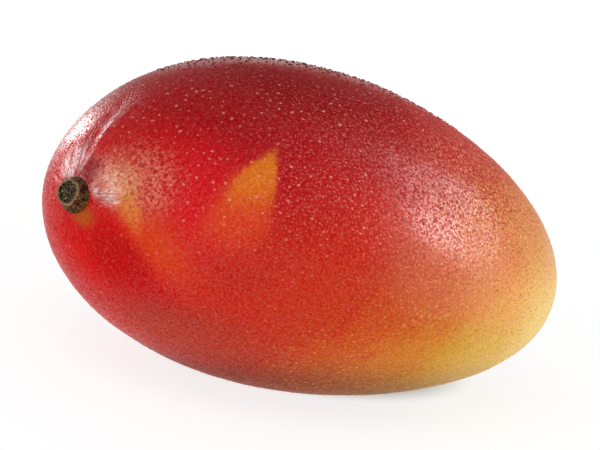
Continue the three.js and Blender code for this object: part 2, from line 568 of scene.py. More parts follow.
@dataclass(frozen=True)
class PoreField:
    """Fine flat pores, finer than the raised ones, in rough rows that run from the stalk."""

    spacing: float = 1.15        # millimetres
    along: float = 60.0          # millimetres of skin for each radian from the apex
    around: float = 43.0         # millimetres of skin for each radian round the fruit
    scatter: float = 0.85        # how far they stray from even rows
    small: float = 0.20          # radius as a share of the spacing
    large: float = 0.36
    core: float = 0.35           # share of the radius that is full
    faintest: float = 0.25       # how much the faintest of them show

    def dots(self, shader: Shader, ball: Signal) -> Signal:
        """Builds the pores.

        Args:
            shader: The material.
            ball: Coordinates in which the fruit is a ball.

        Returns:
            1 in the middle of the plainest pores and 0 between pores.
        """
        x, y, z = (shader.part(ball, axis) for axis in range(3))
        from_apex = x.math("ARCCOSINE", x)
        round_it = z.math("ARCTAN2", z, 0.0 - y)
        flat = shader.joined(from_apex * self.along, round_it * self.around, 0.0)
        cells = {"Vector": flat, "Scale": 1 / self.spacing, "Randomness": self.scatter}
        kind = {"voronoi_dimensions": "2D", "feature": "F1"}
        distance = shader.node("ShaderNodeTexVoronoi", kind, cells)
        chance = shader.node("ShaderNodeTexVoronoi", kind, cells, 1)
        size = self.small + shader.part(chance, 0) * (self.large - self.small)
        plainness = self.faintest + (1 - self.faintest) * shader.part(chance, 1)
        return distance.rise(size, size * self.core) * plainness


@dataclass(frozen=True)
class Rays:
    """Fine broken lines that run out from the stalk."""

    crowding: float              # how close together they lie round the stalk
    breaking: float              # how often they break off on their way out
    size: float
    detail: float
    roughness: float
    faint: float                 # noise at which a line begins to show
    full: float                  # and at which it shows in full

    def drawn(self, shader: Shader, off_axis: Signal, arc: Signal) -> Signal:
        """Draws the lines.

        Args:
            shader: The material.
            off_axis: Places on the fruit as a ball, less their part along its axis.
            arc: Their distance from that axis.

        Returns:
            0 between the lines to 1 on them.
        """
        heading = shader.scaled(shader.vector("NORMALIZE", off_axis), self.crowding)
        fanned = shader.vector("ADD", heading, shader.joined(arc * self.breaking, 0.0, 0.0))
        drawn = shader.noise(fanned, self.size, self.detail, self.roughness)
        return drawn.rise(self.faint, self.full)


@dataclass(frozen=True)
class Wrinkles:
    """A stretch of fine wrinkles that run out from the stalk, their worn lines painted pale:
    partly dry skin, partly painted highlight.
    """

    patch: Patch
    depth: float                 # share of the full relief
    dried: float                 # share of the wax that is gone
    gloss: float                 # wax that is added, most of it on the lines


@dataclass(frozen=True)
class SkinFinish:
    """Satin, faintly waxy mango skin."""

    name: str = "mango_skin"
    blush: Blush = Blush()
    pores: PoreField = PoreField()
    ridges: Rays = Rays(11.0, 7.0, 0.45, 2.5, 0.6, -0.16, 0.18)
    streaks: Rays = Rays(9.0, 16.0, 0.5, 1.5, 0.5, 0.04, 0.22)
    paleness: float = 0.5        # of the flat pores, speckles and streaks
    dusky: Triple = (196, 150, 150)          # what the dark speckles keep of the skin's colour
    rusty: Triple = (206, 134, 144)          # and the dark flecks
    speckle_size: float = 0.62   # millimetres, as the next ones
    fleck_size: float = 0.82
    scuff_size: float = 2.2
    grain_size: float = 0.66
    satin_size: float = 9.0
    peel_size: float = 0.54
    peel_depth: float = 0.23 * MM
    pore_depth: float = 0.05 * MM
    ridge_depth: float = 0.42 * MM
    uphill: Triple = (0.5, 0.0, 0.87)        # towards the crown and the apex
    uphill_rise: Span = (-12.0, 34.0)        # where the speckles strengthen, mm
    crown_fade: Span = (40.0, 30.0)          # heights between which the pale ones come in, mm
    dark_speckles: Span = (0.40, 0.45)       # their strength low down, and what is added uphill
    pale_speckles: Span = (0.2, 0.5)
    flat_pores: Span = (0.12, 0.7)           # their strength on red, and added on yellow skin
    streaked: float = 0.25       # strength of the streaks
    streak_end: Span = (0.62, 0.25)          # how far off axis they are gone, and are full
    streak_start: Span = (0.04, 0.12)        # and the same close to the stalk
    scuffs_and_glints: float = 0.8         # how pale the worn ridges are painted: partly dry skin, partly painted highlight where the lamps would glint on them
    even_gloss: float = 0.35     # share of the added wax that the ridges don't break up
    satin_depth: float = 0.10    # unevenness of the roughness
    grain_depth: float = 0.08
    roughness: float = 0.42
    coat: float = 0.26           # thin wax, which the pores are free of
    coat_roughness: float = 0.24
    refraction: float = 1.10     # low, as a skin with a dusty bloom
    # Each wrinkle's colour is painted on its worn lines: partly dry skin, partly painted
    # highlight.
    wrinkles: tuple[Wrinkles, ...] = (
        # along the ridge
        Wrinkles(Patch((-65.3, -5.3, 8.9), (4.2, 3.8, 11), 0.9, 1.0, (0, 23, 0),
                       colour=(236, 138, 146)), 1.0, 0.95, 0.02),
        # in the hollow beside the stalk
        Wrinkles(Patch((-64.7, -17.0, -2.4), (4.0, 4.5, 3.2), 0.8, 1.0, colour=(255, 190, 174)),
                 0.3, 0.0, 0.68),
        Wrinkles(Patch((-64.2, -17.8, -4.4), (3.6, 4.0, 1.3), 1.0, 0.9, colour=(255, 220, 214)),
                 0.6, 0.0, 1.0),
        # just above the stalk
        Wrinkles(Patch((-69.6, -5.6, -2.0), (4.8, 3.6, 4.6), 1.0, 0.9, colour=(255, 200, 202)),
                 0.5, 0.0, 1.0),
    )
    glazed: tuple[Stretch, ...] = (      # stretches along the crown that shine when seen flat
        Stretch((-33, 8, 33), (24, 9, 12), 0.7, 0.5, (0, -20, 0), broken=0.4),
        Stretch((0, 4, 41), (36, 9.5, 10), 0.7, 0.6, (0, -4, 0), broken=0.5),
    )
    plain: tuple[Stretch, ...] = (       # stretches where the flat pores hardly show
        Stretch((-60, -20, -14), (14, 13, 11), 0.85, 1.0),
        Stretch((-10, -36, -24), (62, 30, 34), 0.75, 0.7, (0, -14, 0)),
    )
    flecked: tuple[Stretch, ...] = (     # stretches strewn with rusty and pale flecks
        Stretch((25, -26, 30), (20, 20, 14), 0.8, 1.0),
        Stretch((-59, -23, 4), (9, 10, 8), 0.9, 1.0),
    )
    dry: tuple[Stretch, ...] = (         # stretches with little wax
        Stretch((-61, -19, -15), (14, 13, 10), 0.8, 1.0),
        Stretch((-12, -10, 38), (40, 18, 10), 0.75, 1.0),
        Stretch((2, -20, -38), (54, 28, 14), 0.8, 1.0, (0, -18, 0)),
        Stretch((-67.2, -11.6, -0.4), (2.8, 3.2, 3.0), 0.7, 1.2),
    )

    def _speckled(self, shader: Shader, own: Signal, skin: Signal, paler: Signal) -> Signal:
        """Strews the skin with speckles, stronger uphill, and with flecks in some places.

        Args:
            shader: The material.
            own: The fruit's own axes.
            skin: The skin's colour.
            paler: The colour of its pale marks.

        Returns:
            The speckled colour.
        """
        dusky = shader.mix(1.0, skin, shade(self.dusky), "MULTIPLY")
        speckle = shader.noise(own, self.speckle_size, 2.5, 0.7)
        uphill = shader.measure("DOT_PRODUCT", own, self.uphill).rise(*self.uphill_rise)
        below_crown = shader.part(own, 2).rise(*self.crown_fade)
        least, more = self.dark_speckles
        skin = shader.mix(speckle.rise(0.0, -0.2) * (least + more * uphill), skin, dusky)
        least, more = self.pale_speckles
        strength = least + more * uphill * below_crown
        skin = shader.mix(speckle.rise(0.02, 0.2) * strength, skin, paler)
        flecks = shader.noise(own, self.fleck_size, 2.0, 0.65)
        flecked = sum(stretch.mask(shader, own) for stretch in self.flecked)
        rusty = shader.mix(1.0, skin, shade(self.rusty), "MULTIPLY")
        skin = shader.mix(flecks.rise(-0.01, -0.14) * flecked, skin, rusty)
        return shader.mix(flecks.rise(0.0, 0.13) * flecked, skin, paler)

    def build(self) -> bpy.types.Material:
        """Builds the material."""
        shader = Shader(self.name)
        own = AXES.coordinates(shader)
        ball = AXES.ball(shader, own)
        off_axis = shader.joined(0.0, shader.part(ball, 1), shader.part(ball, 2))
        arc = shader.measure("LENGTH", off_axis)
        sunned = self.blush.sunned(shader, own)
        skin = self.blush.colour(shader, own, sunned)
        paler = self.blush.paler(shader, skin, sunned, self.paleness)
        skin = self._speckled(shader, own, skin, paler)
        # flat pores, and streaks that fade out away from the stalk
        marked = clear_of(self.plain, shader, own)
        dots = self.pores.dots(shader, ball) * marked
        least, more = self.flat_pores
        skin = shader.mix(dots * sunned.rise(1.0, 0.2) * more + dots * least, skin, paler)
        streaks = self.streaks.drawn(shader, off_axis, arc) * shader.part(ball, 0).rise(0.2, -0.2)
        streaks = streaks * arc.rise(*self.streak_end) * arc.rise(*self.streak_start)
        skin = shader.mix(streaks * marked * self.streaked, skin, paler)
        # wrinkles, and the wax that they gain or lose
        ridges = self.ridges.drawn(shader, off_axis, arc)
        scuffs_and_glints = ridges * shader.noise(own, self.scuff_size, 2.0).rise(-0.2, 0.05)
        shine = sum(stretch.mask(shader, own) for stretch in self.glazed)
        waxed = clear_of(self.dry, shader, own)
        relief = 0.0
        for wrinkled in self.wrinkles:
            mask = wrinkled.patch.mask(shader, own)
            relief = mask.math("MAXIMUM", mask * ridges * wrinkled.depth, relief)
            evenly = self.even_gloss + (1 - self.even_gloss) * scuffs_and_glints
            shine = shine + mask * evenly * wrinkled.gloss
            waxed = waxed * (1 - mask * (1 - 0.3 * scuffs_and_glints) * wrinkled.dried)
            # painted highlight: the worn lines are painted pale in the wrinkle's colour, partly
            # dry skin and partly standing in for glints
            skin = shader.mix(
                mask * scuffs_and_glints * self.scuffs_and_glints, skin, shade(wrinkled.patch.colour))
        grain = shader.noise(own, self.grain_size, 2.0, 0.65)
        satin = shader.noise(own, self.satin_size, 3.0)
        wax = (1 - dots) * waxed * (2.0 * self.coat) * grain.rise(-0.10, 0.10)
        peel = shader.bump(shader.noise(own, self.peel_size, 2.5, 0.6) + 0.5, self.peel_depth)
        pitted = shader.bump(dots, self.pore_depth, peel)
        shader.surface({
            "Base Color": skin,
            "Roughness": self.roughness + satin * self.satin_depth + grain * self.grain_depth,
            "Normal": shader.bump(relief, self.ridge_depth, pitted),
            "Coat Weight": wax + shine,
            "Coat Roughness": self.coat_roughness,
            "IOR": self.refraction,
        })
        return shader.material


@dataclass(frozen=True)
class PoreFinish:
    """A raised pore: the skin's own colour, paler on its crown, and painted dark where sheens lie
    on the skin.
    """

    name: str = "mango_pore"
    blush: Blush = Blush()
    paleness: float = 0.86
    faintest: float = 0.2        # how much of it shows on the pores of the lowest tone
    on_yellow: float = 0.4       # and at the least on any pore in yellow skin
    covered: float = 0.4         # how much of a painted-dark pore's flank is painted dark
    roughness: float = 0.40
    roughening: float = 0.12     # added by its tone
    refraction: float = 1.2
    plain: tuple[Stretch, ...] = (       # stretches where the crowns hardly show
        Stretch((-61, -19, -15), (14, 13, 10), 0.75, 1.0),
        Stretch((-10, -36, -24), (62, 30, 34), 0.72, 0.7, (0, -14, 0)),
    )
    dark: tuple[Patch, ...] = (          # painted shade: stretches where the pores are painted darker than the skin, where the cheek's sheen and the crown's grazing sheen lie
        Patch((6, -36.5, 23), (13, 14, 9.5), 1.0, 0.8, colour=(152, 2, 12)),
        Patch((-33, 8, 33), (26, 11, 14), 1.0, 0.6, (0, -20, 0), colour=(92, 0, 10)),
        Patch((0, 3, 41), (38, 10, 12), 0.95, 0.6, (0, -4, 0), colour=(104, 2, 10)),
    )

    def build(self) -> bpy.types.Material:
        """Builds the material, which reads the crown and tone of each pore."""
        shader = Shader(self.name)
        own = AXES.coordinates(shader)
        sunned = self.blush.sunned(shader, own)
        skin = self.blush.colour(shader, own, sunned)
        crown = shader.attribute("crown")
        tone = shader.attribute("tone")
        paler = self.blush.paler(shader, skin, sunned, self.paleness)
        shown = self.faintest + (1 - self.faintest) * tone.rise(0.25, 1.0)
        shown = shown * clear_of(self.plain, shader, own)
        shown = shown.math("MAXIMUM", shown, sunned.rise(0.0, -0.7) * self.on_yellow)
        dot = shader.mix(crown * shown, skin, paler)
        # painted shade: the pores are darkened where the sheens lie, standing in for pores that
        # break up those reflections
        for patch in self.dark:
            covered = patch.mask(shader, own) * (self.covered + (1 - self.covered) * crown)
            dot = shader.mix(covered, dot, shade(patch.colour))
        shader.surface({
            "Base Color": dot,
            "Roughness": self.roughness + self.roughening * tone,
            "IOR": self.refraction,
        })
        return shader.material


@dataclass(frozen=True)
class BarkFinish:
    """Dry bark and torn wood of the stalk's stub."""

    name: str = "stalk_bark"
    coarse_size: float = 1.6     # millimetres
    fine_size: float = 0.42
    depth: float = 0.34 * MM
    bark: Ramp = (
        (0.25, (32, 13, 6)),
        (0.42, (84, 46, 18)),
        (0.58, (128, 84, 38)),
        (0.78, (172, 126, 74)),
    )
    pith: Ramp = (
        (0.3, (26, 12, 6)),
        (0.5, (66, 46, 22)),
        (0.64, (112, 92, 44)),
        (0.78, (206, 194, 160)),
    )
    edge: tuple[Triple, Triple] = ((150, 104, 52), (206, 172, 116))
    # painted shade in the bark's fissures
    cleft: Triple = (20, 9, 6)

    def build(self) -> bpy.types.Material:
        """Builds the material, which reads how far into the torn end a place is."""
        shader = Shader(self.name)
        place = shader.mapped(shader.place(), (0, 0, 0), (0, 0, 0), (MM, MM, MM))
        torn = shader.attribute("torn")
        rim = shader.attribute("rim")
        coarse = shader.noise(place, self.coarse_size, 3.0, 0.6)
        fine = shader.noise(place, self.fine_size, 2.0, 0.6)
        bark = shader.node("ShaderNodeValToRGB", {"stops": self.bark},
                           {0: coarse * 0.8 + fine * 1.1 + 0.46})
        pith = shader.node("ShaderNodeValToRGB", {"stops": self.pith}, {0: fine * 1.7 + 0.48})
        wood = shader.mix(torn, bark, pith)
        edge = shader.mix(fine + 0.5, shade(self.edge[0]), shade(self.edge[1]))
        wood = shader.mix(rim * 0.75, wood, edge)
        # painted shade: the bark is darker the deeper its fissure
        cleft = shader.attribute("cleft")
        wood = shader.mix(cleft * 0.7, wood, shade(self.cleft))
        shader.surface({
            "Base Color": wood,
            "Roughness": 0.72 + 0.2 * fine,
            "Specular IOR Level": 0.2,
            "Normal": shader.bump(fine + coarse + 0.5, self.depth),
        })
        return shader.material


# ---------------------------------------------------------------- modelling helpers


def deselect() -> None:
    """Leaves edit mode and selects nothing."""
    if bpy.context.object and bpy.context.object.mode != "OBJECT":
        bpy.ops.object.mode_set(mode="OBJECT")
    bpy.ops.object.select_all(action="DESELECT")


def added(name: str, mesh: bpy.types.Mesh) -> bpy.types.Object:
    """Puts a mesh into the scene as a piece, the only selected and the active one."""
    deselect()
    piece = bpy.data.objects.new(name, mesh)
    bpy.context.scene.collection.objects.link(piece)
    piece.select_set(True)
    bpy.context.view_layer.objects.active = piece
    return piece


def rounded(piece: bpy.types.Object, rounds: int) -> None:
    """Subdivides the active piece into a rounder one."""
    smooth = piece.modifiers.new("rounding", "SUBSURF")
    smooth.levels = rounds
    smooth.render_levels = rounds
    bpy.ops.object.modifier_apply(modifier=smooth.name)


def rows_of(mesh: bpy.types.Mesh, kind: str) -> np.ndarray:
    """The places ("co") or normals ("normal") of a mesh's vertices, one a row."""
    rows = np.empty(len(mesh.vertices) * 3)
    mesh.vertices.foreach_get(kind, rows)
    return rows.reshape(-1, 3)


def put_places(mesh: bpy.types.Mesh, places: np.ndarray) -> None:
    """Moves a mesh's vertices to new places."""
    mesh.vertices.foreach_set("co", places.ravel())
    mesh.update()


def put_values(mesh: bpy.types.Mesh, name: str, values: np.ndarray) -> None:
    """Writes one number for each vertex as a named attribute."""
    mesh.attributes.new(name, "FLOAT", "POINT").data.foreach_set(
        "value", np.asarray(values, dtype=np.float32))


def noise_at(places: np.ndarray, size: float, offset: float = 0.0) -> np.ndarray:
    """Smooth noise from -1 to 1 with lumps of the given size, one value for each place."""
    shift = Vector((offset, offset * 1.7, -offset))
    return np.array([noise.noise(Vector(place) / size + shift) for place in places])


def dressed(piece: bpy.types.Object, material: bpy.types.Material) -> None:
    """Gives a piece its material and the fruit's body to ride on."""
    piece.data.materials.clear()
    piece.data.materials.append(material)
    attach(piece, "root")


# ---------------------------------------------------------------- the skin


@dataclass(frozen=True)
class Fold:
    """A ridge or crease of skin that runs out from the stalk."""

    heading: float               # where it starts: degrees from straight uphill, towards +y
    later_heading: float         # where it has turned to by its end
    start: float                 # millimetres of skin from the stalk's seat
    end: float
    height: float                # millimetres, negative for a crease
    half_width: float

    def relief(self, distance: np.ndarray, heading: np.ndarray) -> np.ndarray:
        """Height of the fold, in millimetres.

        Args:
            distance: Millimetres of skin from the stalk.
            heading: Radians from straight uphill.

        Returns:
            Its height at each place.
        """
        along = np.clip((distance - self.start) / (self.end - self.start), 0, 1)
        course = np.radians(self.heading + (self.later_heading - self.heading) * along)
        off = heading - course
        aside = distance * np.sin(off)
        strength = np.sin(np.pi * np.sqrt(along)) * (np.cos(off) > 0)
        return self.height * strength * np.exp(-(aside / self.half_width) ** 2)


@dataclass
class Skin:
    """The fruit's skin, refined from the solid, with the small relief that the solid leaves."""

    rounds: int = 2              # of subdivision
    swell: float = 0.16          # height of the broad unevenness, mm
    swell_size: float = 13.0
    ripple: float = 0.05         # and of the finer one
    ripple_size: float = 4.2
    folds: tuple[Fold, ...] = (
        Fold(10, 20, 7, 27, -0.10, 1.00),        # the crease over the shoulder
        Fold(5, 13, 5, 25, 0.15, 1.90),          # the ridge along it
        Fold(24, 27, 8, 17, -0.12, 0.40),        # a finer crease beyond it
        Fold(30, 40, 2.5, 9.5, 0.60, 3.20),      # raised shoulder above the stalk
        Fold(-56, -50, 4.5, 13, -0.40, 2.60),    # hollow beside it
        Fold(-68, -66, 6, 14, -0.16, 0.36),      # wrinkles in the hollow
        Fold(-74, -73, 6, 13, -0.18, 0.36),
        Fold(-81, -79, 6, 12, -0.14, 0.32),
    )
    stray_folds: int = 34        # faint lines all round the stalk
    stray_start: Span = (4.0, 6.5)           # millimetres from the seat
    stray_bend: Span = (-6, 6)               # degrees
    stray_length: Span = (4, 11)
    stray_height: Span = (-0.10, -0.03)
    stray_half_width: Span = (0.25, 0.5)
    seed: int = 5
    resting: float = 0.6 * MM    # below this height the skin is left flat
    loosening: float = 3 * MM    # and this much higher the relief is full

    def build(self) -> bpy.types.Object:
        """Refines a copy of the solid.

        Returns:
            The skin, closed all over, with the socket that the stalk sits in.
        """
        source = frame["nodes"]["fruit"]
        piece = added("mango_flesh", source.data.copy())
        if piece.data.has_custom_normals:
            bpy.ops.mesh.customdata_custom_splitnormals_clear()
        bpy.ops.object.mode_set(mode="EDIT")
        bpy.ops.mesh.select_all(action="SELECT")
        bpy.ops.mesh.remove_doubles(threshold=1e-6)
        bpy.ops.mesh.tris_convert_to_quads()
        bpy.ops.object.mode_set(mode="OBJECT")
        rounded(piece, self.rounds)
        self._relieve(piece.data)
        bpy.ops.object.shade_smooth()
        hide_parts("fruit")
        return piece

    def _relieve(self, mesh: bpy.types.Mesh) -> None:
        """Moves the skin in and out by the small relief."""
        places = rows_of(mesh, "co")
        own = AXES.own(places)
        height = self.swell * noise_at(own, self.swell_size)
        height += self.ripple * noise_at(own, self.ripple_size, 9.0)
        distance, heading = AXES.round_the_stalk(own)
        for fold in self.folds + self._stray_folds():
            height += fold.relief(distance, heading)
        loose = np.clip((places[:, 2] - self.resting) / self.loosening, 0, 1)
        put_places(mesh, places + rows_of(mesh, "normal") * (height * loose * MM)[:, None])

    def _stray_folds(self) -> tuple[Fold, ...]:
        """Faint lines that fan out from the stalk at random."""
        draw = random.Random(self.seed)
        folds = []
        for _ in range(self.stray_folds):
            heading = draw.uniform(-180, 180)
            start = draw.uniform(*self.stray_start)
            folds.append(Fold(
                heading, heading + draw.uniform(*self.stray_bend),
                start, start + draw.uniform(*self.stray_length),
                draw.uniform(*self.stray_height), draw.uniform(*self.stray_half_width)))
        return tuple(folds)


# ---------------------------------------------------------------- raised pores


class Zone(Enum):
    """The three stretches of skin that the raised pores are made in."""

    STALK_END = "pores_stalk_end"
    CHEEK = "pores_cheek"
    APEX_END = "pores_apex_end"


@dataclass
class Pores:
    """Small raised pores, set out evenly at random over the skin."""

    skin: bpy.types.Object
    spacing: float = 1.60        # millimetres between neighbours at the least
    tries: int = 5               # places tried for each square of the spacing
    radius: float = 0.36         # millimetres
    narrowest: float = 0.4       # times the radius
    widening: float = 0.8        # added to that by chance, wide ones being rare
    stretches: Span = (0.9, 1.8)             # length over width
    skew: float = 35.0           # spread of their turn off the long axis, degrees
    height: float = 0.07         # above the skin, mm
    rises: Span = (0.7, 1.2)                 # times the height
    sunk: float = 0.03           # depth of the widest ring below the skin, mm
    sides: int = 6               # of one pore
    rings: int = 4
    seed: int = 20
    edge: float = 20.0           # own x that parts the cheek from the ends, mm
    clear_of_stalk: float = 6.5  # millimetres round the stalk that have none
    coarse: Triple = (6, -36.5, 23)          # middle of where they are wide, in own axes
    coarse_reach: float = 13.0
    coarse_growth: float = 1.45
    proud: tuple[tuple[Triple, Triple], ...] = (     # centres and radii of where they stand out
        ((-33, 8, 33), (26, 12, 14)),
        ((-2, 4, 41), (36, 11, 12)),
    )
    proud_growth: float = 1.4
    proud_rise: float = 3.6
    resting: float = 1.2 * MM    # none below this height

    def scatter(self) -> tuple[np.ndarray, np.ndarray]:
        """Sets out the pores.

        Returns:
            Their places in metres and the skin's normals there, one a row.
        """
        mesh = self.skin.data
        mesh.calc_loop_triangles()
        corners = np.empty(len(mesh.loop_triangles) * 3, dtype=np.int64)
        mesh.loop_triangles.foreach_get("vertices", corners)
        corners = corners.reshape(-1, 3)
        places, normals = rows_of(mesh, "co"), rows_of(mesh, "normal")
        a, b, c = (places[corners[:, i]] for i in range(3))
        area = np.linalg.norm(np.cross(b - a, c - a), axis=1)
        draw = np.random.default_rng(self.seed)
        count = int(area.sum() / 2 / (self.spacing * MM) ** 2 * self.tries)
        chosen = draw.choice(len(corners), count, p=area / area.sum())
        mixes = draw.dirichlet((1, 1, 1), count)
        spots = np.einsum("ij,ijk->ik", mixes, places[corners[chosen]])
        facing = np.einsum("ij,ijk->ik", mixes, normals[corners[chosen]])
        kept = self._spaced(spots)
        facing = facing[kept] / np.linalg.norm(facing[kept], axis=1)[:, None]
        return spots[kept], facing

    def _spaced(self, spots: np.ndarray) -> list[int]:
        """Numbers of the spots that keep their distance from those kept before."""
        cell = self.spacing * MM
        from_seat, _ = AXES.round_the_stalk(AXES.own(spots))
        grid: dict[tuple[int, int, int], list[int]] = {}
        kept = []
        keys = np.floor(spots / cell).astype(int)
        near = [(i, j, k) for i in (-1, 0, 1) for j in (-1, 0, 1) for k in (-1, 0, 1)]
        for number, spot in enumerate(spots):
            if from_seat[number] < self.clear_of_stalk or spot[2] < self.resting:
                continue
            key = tuple(keys[number])
            rivals = [other for step in near for other in grid.get(
                (key[0] + step[0], key[1] + step[1], key[2] + step[2]), ())]
            if all(np.sum((spots[other] - spot) ** 2) >= cell ** 2 for other in rivals):
                grid.setdefault(key, []).append(number)
                kept.append(number)
        return kept

    def _bead(self) -> tuple[np.ndarray, list[tuple[int, ...]]]:
        """Models one pore of radius 1 and height 1, its underside drawn to a point.

        Returns:
            Its corners, one a row, and the corners of each face.
        """
        deselect()
        bpy.ops.mesh.primitive_uv_sphere_add(
            segments=self.sides, ring_count=self.rings, radius=1.0)
        bead = bpy.context.object
        bpy.ops.object.mode_set(mode="EDIT")
        bpy.ops.mesh.select_all(action="DESELECT")
        bpy.ops.object.mode_set(mode="OBJECT")
        for corner in bead.data.vertices:
            corner.select = corner.co.z < -0.1
        bpy.ops.object.mode_set(mode="EDIT")
        bpy.ops.mesh.merge(type="CENTER")
        bpy.ops.object.mode_set(mode="OBJECT")
        corners = rows_of(bead.data, "co")
        # The sphere's faces come in an order that differs from run to run.
        faces = sorted(tuple(face.vertices) for face in bead.data.polygons)
        bpy.data.objects.remove(bead)
        return corners, faces

    def build(self) -> list[bpy.types.Object]:
        """Models one pore and copies it to every place.

        Returns:
            One piece for each zone.
        """
        spots, facing = self.scatter()
        own = AXES.own(spots)
        bead, faces = self._bead()
        draw = random.Random(self.seed)
        zones = {
            Zone.STALK_END: own[:, 0] < -self.edge,
            Zone.CHEEK: np.abs(own[:, 0]) <= self.edge,
            Zone.APEX_END: own[:, 0] > self.edge,
        }
        return [self._zone(zone, spots[inside], facing[inside], bead, faces, draw)
                for zone, inside in zones.items()]

    def _zone(self, zone: Zone, spots: np.ndarray, facing: np.ndarray, bead: np.ndarray,
              faces: list[tuple[int, ...]], draw: random.Random) -> bpy.types.Object:
        """Makes the pores of one zone.

        Args:
            zone: Which zone it is.
            spots: Places of its pores.
            facing: Normals of the skin at those places.
            bead: Corners of one pore.
            faces: Faces of one pore.
            draw: Source of their sizes and tones.

        Returns:
            The zone's pores as one piece.
        """
        lengthwise = np.array(Matrix.Rotation(math.radians(AXES.tilt), 3, "Y") @ Vector((1, 0, 0)))
        corners, panels, crowns, tones = [], [], [], []
        for spot, normal in zip(spots, facing):
            along = lengthwise - normal * lengthwise.dot(normal)
            along /= max(np.linalg.norm(along), 1e-6)
            skewed = math.radians(draw.gauss(0, self.skew))
            along = along * math.cos(skewed) + np.cross(normal, along) * math.sin(skewed)
            across = np.cross(normal, along)
            size = (self.narrowest + self.widening * draw.random() ** 1.5) * self.radius * MM
            rise = draw.uniform(*self.rises) * self.height * MM
            own = AXES.own(spot)
            if np.linalg.norm(own - self.coarse) < self.coarse_reach:
                size *= self.coarse_growth
            if any(np.linalg.norm((own - centre) / radii) < 1 for centre, radii in self.proud):
                size *= self.proud_growth
                rise *= self.proud_rise
            stretch = draw.uniform(*self.stretches)
            sunk = self.sunk * MM
            local = (np.outer(bead[:, 0] * size * stretch, along)
                     + np.outer(bead[:, 1] * size, across)
                     + np.outer(bead[:, 2] * (rise + sunk), normal))
            first = len(corners) * len(bead)
            corners.append(local + spot - normal * sunk)
            panels.extend(tuple(first + corner for corner in face) for face in faces)
            crowns.append(np.clip(bead[:, 2], 0, 1))
            tones.append(np.full(len(bead), draw.random()))
        mesh = bpy.data.meshes.new(zone.value)
        mesh.from_pydata(np.concatenate(corners).tolist(), [], panels)
        put_values(mesh, "crown", np.concatenate(crowns))
        put_values(mesh, "tone", np.concatenate(tones))
        piece = added(zone.value, mesh)
        bpy.ops.object.shade_smooth()
        return piece


# ---------------------------------------------------------------- the stalk


